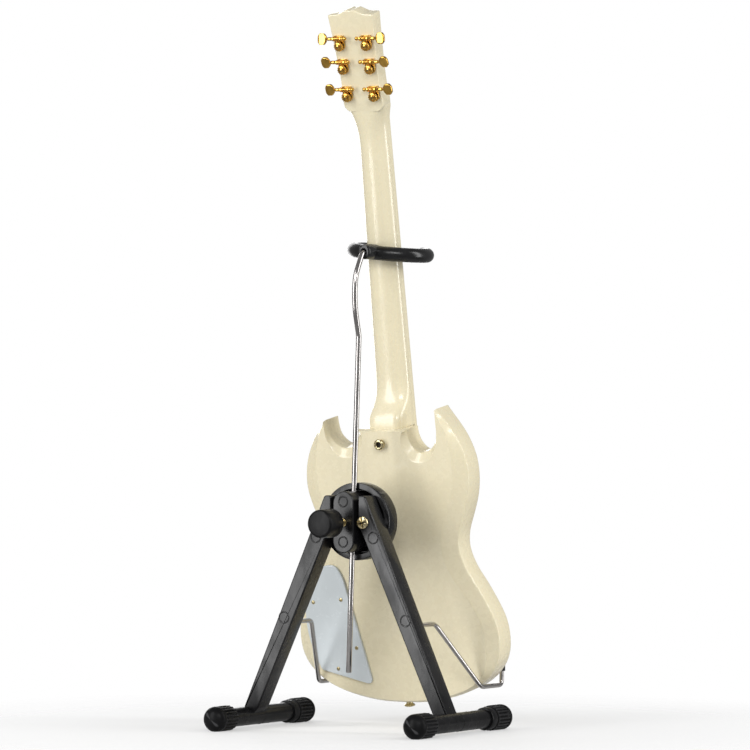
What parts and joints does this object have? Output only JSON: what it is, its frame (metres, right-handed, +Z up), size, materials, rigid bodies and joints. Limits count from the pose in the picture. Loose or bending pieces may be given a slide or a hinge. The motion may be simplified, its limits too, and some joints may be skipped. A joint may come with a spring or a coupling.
{
  "type": "guitar on stand",
  "caption": "Miniature double-cutaway electric guitar with cream body and gold fittings, resting on a folding black stand with wire arms and a neck yoke.",
  "frame": {"origin": "on the floor, under the middle of the bounding box", "axes": "+Z up, -Y the way the guitar's face looks, +X the guitar's treble side, which is on the right seen from the front"},
  "size_m": [0.0912, 0.081, 0.2595],
  "materials": {
    "cream_lacquer": "gloss cream lacquer",
    "dark_fretboard": "satin dark wood",
    "bone_plastic": "satin ivory",
    "pale_plastic": "gloss pale grey-white",
    "gold_plate": "polished gold plate",
    "brass_screws": "zinc-yellow screw heads",
    "bright_steel": "polished wire",
    "black_plastic": "semi-gloss moulded black",
    "black_rubber": "matte moulded rubber"
  },
  "bodies": {
    "base": {"hub_dish": "black_plastic", "clamp_block": "black_plastic", "pivot_screw_left": "brass_screws", "pivot_screw_right": "brass_screws"},
    "guitar": {"guitar_body": "cream_lacquer", "neck": "cream_lacquer", "fretboard": "dark_fretboard", "nut": "bone_plastic", "truss_rod_cover": "pale_plastic", "pickguard": "pale_plastic", "pickup_neck": "gold_plate", "pickup_middle": "gold_plate", "pickup_bridge": "gold_plate", "bridge": "gold_plate", "tailpiece": "gold_plate", "control_cover": "pale_plastic", "cover_screw_1": "brass_screws", "cover_screw_2": "brass_screws", "cover_screw_3": "brass_screws", "cover_screw_4": "brass_screws", "strap_button_heel": "gold_plate", "strap_button_end": "gold_plate", "toggle_base": "gold_plate", "output_jack": "gold_plate", "tuner_plate_bass_1": "gold_plate", "tuner_plate_bass_2": "gold_plate", "tuner_plate_bass_3": "gold_plate", "tuner_plate_treble_1": "gold_plate", "tuner_plate_treble_2": "gold_plate", "tuner_plate_treble_3": "gold_plate"},
    "leg_left": {"leg_left": "black_plastic", "foot_cap_left_front": "black_rubber", "foot_cap_left_rear": "black_rubber"},
    "leg_right": {"leg_right": "black_plastic", "foot_cap_right_front": "black_rubber", "foot_cap_right_rear": "black_rubber"},
    "arm_left": {"body_arm_left": "bright_steel", "arm_tip_left": "black_rubber"},
    "arm_right": {"body_arm_right": "bright_steel", "arm_tip_right": "black_rubber"},
    "neck_support": {"neck_rod": "bright_steel", "neck_yoke": "black_plastic"},
    "clamp_knob": {"clamp_knob": "black_plastic"},
    "knob_volume_neck": {"knob_volume_neck": "gold_plate"},
    "knob_volume_bridge": {"knob_volume_bridge": "gold_plate"},
    "knob_tone_neck": {"knob_tone_neck": "gold_plate"},
    "knob_tone_bridge": {"knob_tone_bridge": "gold_plate"},
    "toggle": {"toggle_lever": "bone_plastic"},
    "worm_bass_1": {"tuner_worm_bass_1": "gold_plate"},
    "post_bass_1": {"tuner_post_bass_1": "gold_plate"},
    "worm_bass_2": {"tuner_worm_bass_2": "gold_plate"},
    "post_bass_2": {"tuner_post_bass_2": "gold_plate"},
    "worm_bass_3": {"tuner_worm_bass_3": "gold_plate"},
    "post_bass_3": {"tuner_post_bass_3": "gold_plate"},
    "worm_treble_1": {"tuner_worm_treble_1": "gold_plate"},
    "post_treble_1": {"tuner_post_treble_1": "gold_plate"},
    "worm_treble_2": {"tuner_worm_treble_2": "gold_plate"},
    "post_treble_2": {"tuner_post_treble_2": "gold_plate"},
    "worm_treble_3": {"tuner_worm_treble_3": "gold_plate"},
    "post_treble_3": {"tuner_post_treble_3": "gold_plate"}
  },
  "joints": [
    {"name": "guitar_lift", "type": "slide", "parent": "base", "child": "guitar", "axis": [0, 0.1564, 0.9877], "range_m": [0, 0.045]},
    {"name": "leg_left_fold", "type": "hinge", "parent": "base", "child": "leg_left", "pos_m": [-0.0079, 0.0122, 0.0749], "axis": [0, -1, 0], "range_deg": [0, 24.1]},
    {"name": "leg_right_fold", "type": "hinge", "parent": "base", "child": "leg_right", "pos_m": [0.0079, 0.0122, 0.0749], "axis": [0, 1, 0], "range_deg": [0, 24.1]},
    {"name": "arm_left_swivel", "type": "hinge", "parent": "leg_left", "child": "arm_left", "pos_m": [-0.02556, 0.0022, 0.0384], "axis": [0, 1, 0], "range_deg": [0, 90]},
    {"name": "arm_right_swivel", "type": "hinge", "parent": "leg_right", "child": "arm_right", "pos_m": [0.02556, 0.0022, 0.0384], "axis": [0, -1, 0], "range_deg": [0, 90]},
    {"name": "neck_rod_slide", "type": "slide", "parent": "base", "child": "neck_support", "axis": [0, -0.0593, 0.9982], "range_m": [-0.018, 0]},
    {"name": "clamp_knob_turn", "type": "hinge", "parent": "base", "child": "clamp_knob", "pos_m": [0, 0.0272, 0.0749], "axis": [0, 1, 0], "range_deg": [0, 450]},
    {"name": "knob_volume_neck_turn", "type": "hinge", "parent": "guitar", "child": "knob_volume_neck", "pos_m": [0.0195, -0.03045, 0.04666], "axis": [0, -0.9877, 0.1564], "range_deg": [0, 270]},
    {"name": "knob_volume_bridge_turn", "type": "hinge", "parent": "guitar", "child": "knob_volume_bridge", "pos_m": [0.03, -0.03092, 0.0437], "axis": [0, -0.9877, 0.1564], "range_deg": [0, 270]},
    {"name": "knob_tone_neck_turn", "type": "hinge", "parent": "guitar", "child": "knob_tone_neck", "pos_m": [0.0175, -0.03264, 0.03283], "axis": [0, -0.9877, 0.1564], "range_deg": [0, 270]},
    {"name": "knob_tone_bridge_turn", "type": "hinge", "parent": "guitar", "child": "knob_tone_bridge", "pos_m": [0.0285, -0.03318, 0.02938], "axis": [0, -0.9877, 0.1564], "range_deg": [0, 270]},
    {"name": "toggle_tilt", "type": "hinge", "parent": "guitar", "child": "toggle", "pos_m": [0.0245, -0.03001, 0.05773], "axis": [1, 0, 0], "range_deg": [-12, 12]},
    {"name": "worm_bass_1_turn", "type": "hinge", "parent": "guitar", "child": "worm_bass_1", "pos_m": [-0.0055, 0.00617, 0.22937], "axis": [1, 0, 0], "continuous": true},
    {"name": "post_bass_1_turn", "type": "hinge", "parent": "guitar", "child": "post_bass_1", "pos_m": [-0.0055, 0.0035, 0.22715], "axis": [0, -0.9563, 0.2924], "continuous": true},
    {"name": "worm_bass_2_turn", "type": "hinge", "parent": "guitar", "child": "worm_bass_2", "pos_m": [-0.0055, 0.00913, 0.23908], "axis": [1, 0, 0], "continuous": true},
    {"name": "post_bass_2_turn", "type": "hinge", "parent": "guitar", "child": "post_bass_2", "pos_m": [-0.0055, 0.00647, 0.23686], "axis": [0, -0.9563, 0.2924], "continuous": true},
    {"name": "worm_bass_3_turn", "type": "hinge", "parent": "guitar", "child": "worm_bass_3", "pos_m": [-0.0055, 0.01168, 0.2474], "axis": [1, 0, 0], "continuous": true},
    {"name": "post_bass_3_turn", "type": "hinge", "parent": "guitar", "child": "post_bass_3", "pos_m": [-0.0055, 0.00901, 0.24518], "axis": [0, -0.9563, 0.2924], "continuous": true},
    {"name": "worm_treble_1_turn", "type": "hinge", "parent": "guitar", "child": "worm_treble_1", "pos_m": [0.0055, 0.00617, 0.22937], "axis": [1, 0, 0], "continuous": true},
    {"name": "post_treble_1_turn", "type": "hinge", "parent": "guitar", "child": "post_treble_1", "pos_m": [0.0055, 0.0035, 0.22715], "axis": [0, -0.9563, 0.2924], "continuous": true},
    {"name": "worm_treble_2_turn", "type": "hinge", "parent": "guitar", "child": "worm_treble_2", "pos_m": [0.0055, 0.00913, 0.23908], "axis": [1, 0, 0], "continuous": true},
    {"name": "post_treble_2_turn", "type": "hinge", "parent": "guitar", "child": "post_treble_2", "pos_m": [0.0055, 0.00647, 0.23686], "axis": [0, -0.9563, 0.2924], "continuous": true},
    {"name": "worm_treble_3_turn", "type": "hinge", "parent": "guitar", "child": "worm_treble_3", "pos_m": [0.0055, 0.01168, 0.2474], "axis": [1, 0, 0], "continuous": true},
    {"name": "post_treble_3_turn", "type": "hinge", "parent": "guitar", "child": "post_treble_3", "pos_m": [0.0055, 0.00901, 0.24518], "axis": [0, -0.9563, 0.2924], "continuous": true}
  ],
  "couplings": [
    {"joint": "leg_left_fold", "follows": "guitar_lift", "rad_per_m": 9.3084},
    {"joint": "leg_right_fold", "follows": "guitar_lift", "rad_per_m": 9.3084},
    {"joint": "post_bass_1_turn", "follows": "worm_bass_1_turn", "ratio": 0.071429},
    {"joint": "post_bass_2_turn", "follows": "worm_bass_2_turn", "ratio": 0.071429},
    {"joint": "post_bass_3_turn", "follows": "worm_bass_3_turn", "ratio": 0.071429},
    {"joint": "post_treble_1_turn", "follows": "worm_treble_1_turn", "ratio": 0.071429},
    {"joint": "post_treble_2_turn", "follows": "worm_treble_2_turn", "ratio": 0.071429},
    {"joint": "post_treble_3_turn", "follows": "worm_treble_3_turn", "ratio": 0.071429}
  ]
}
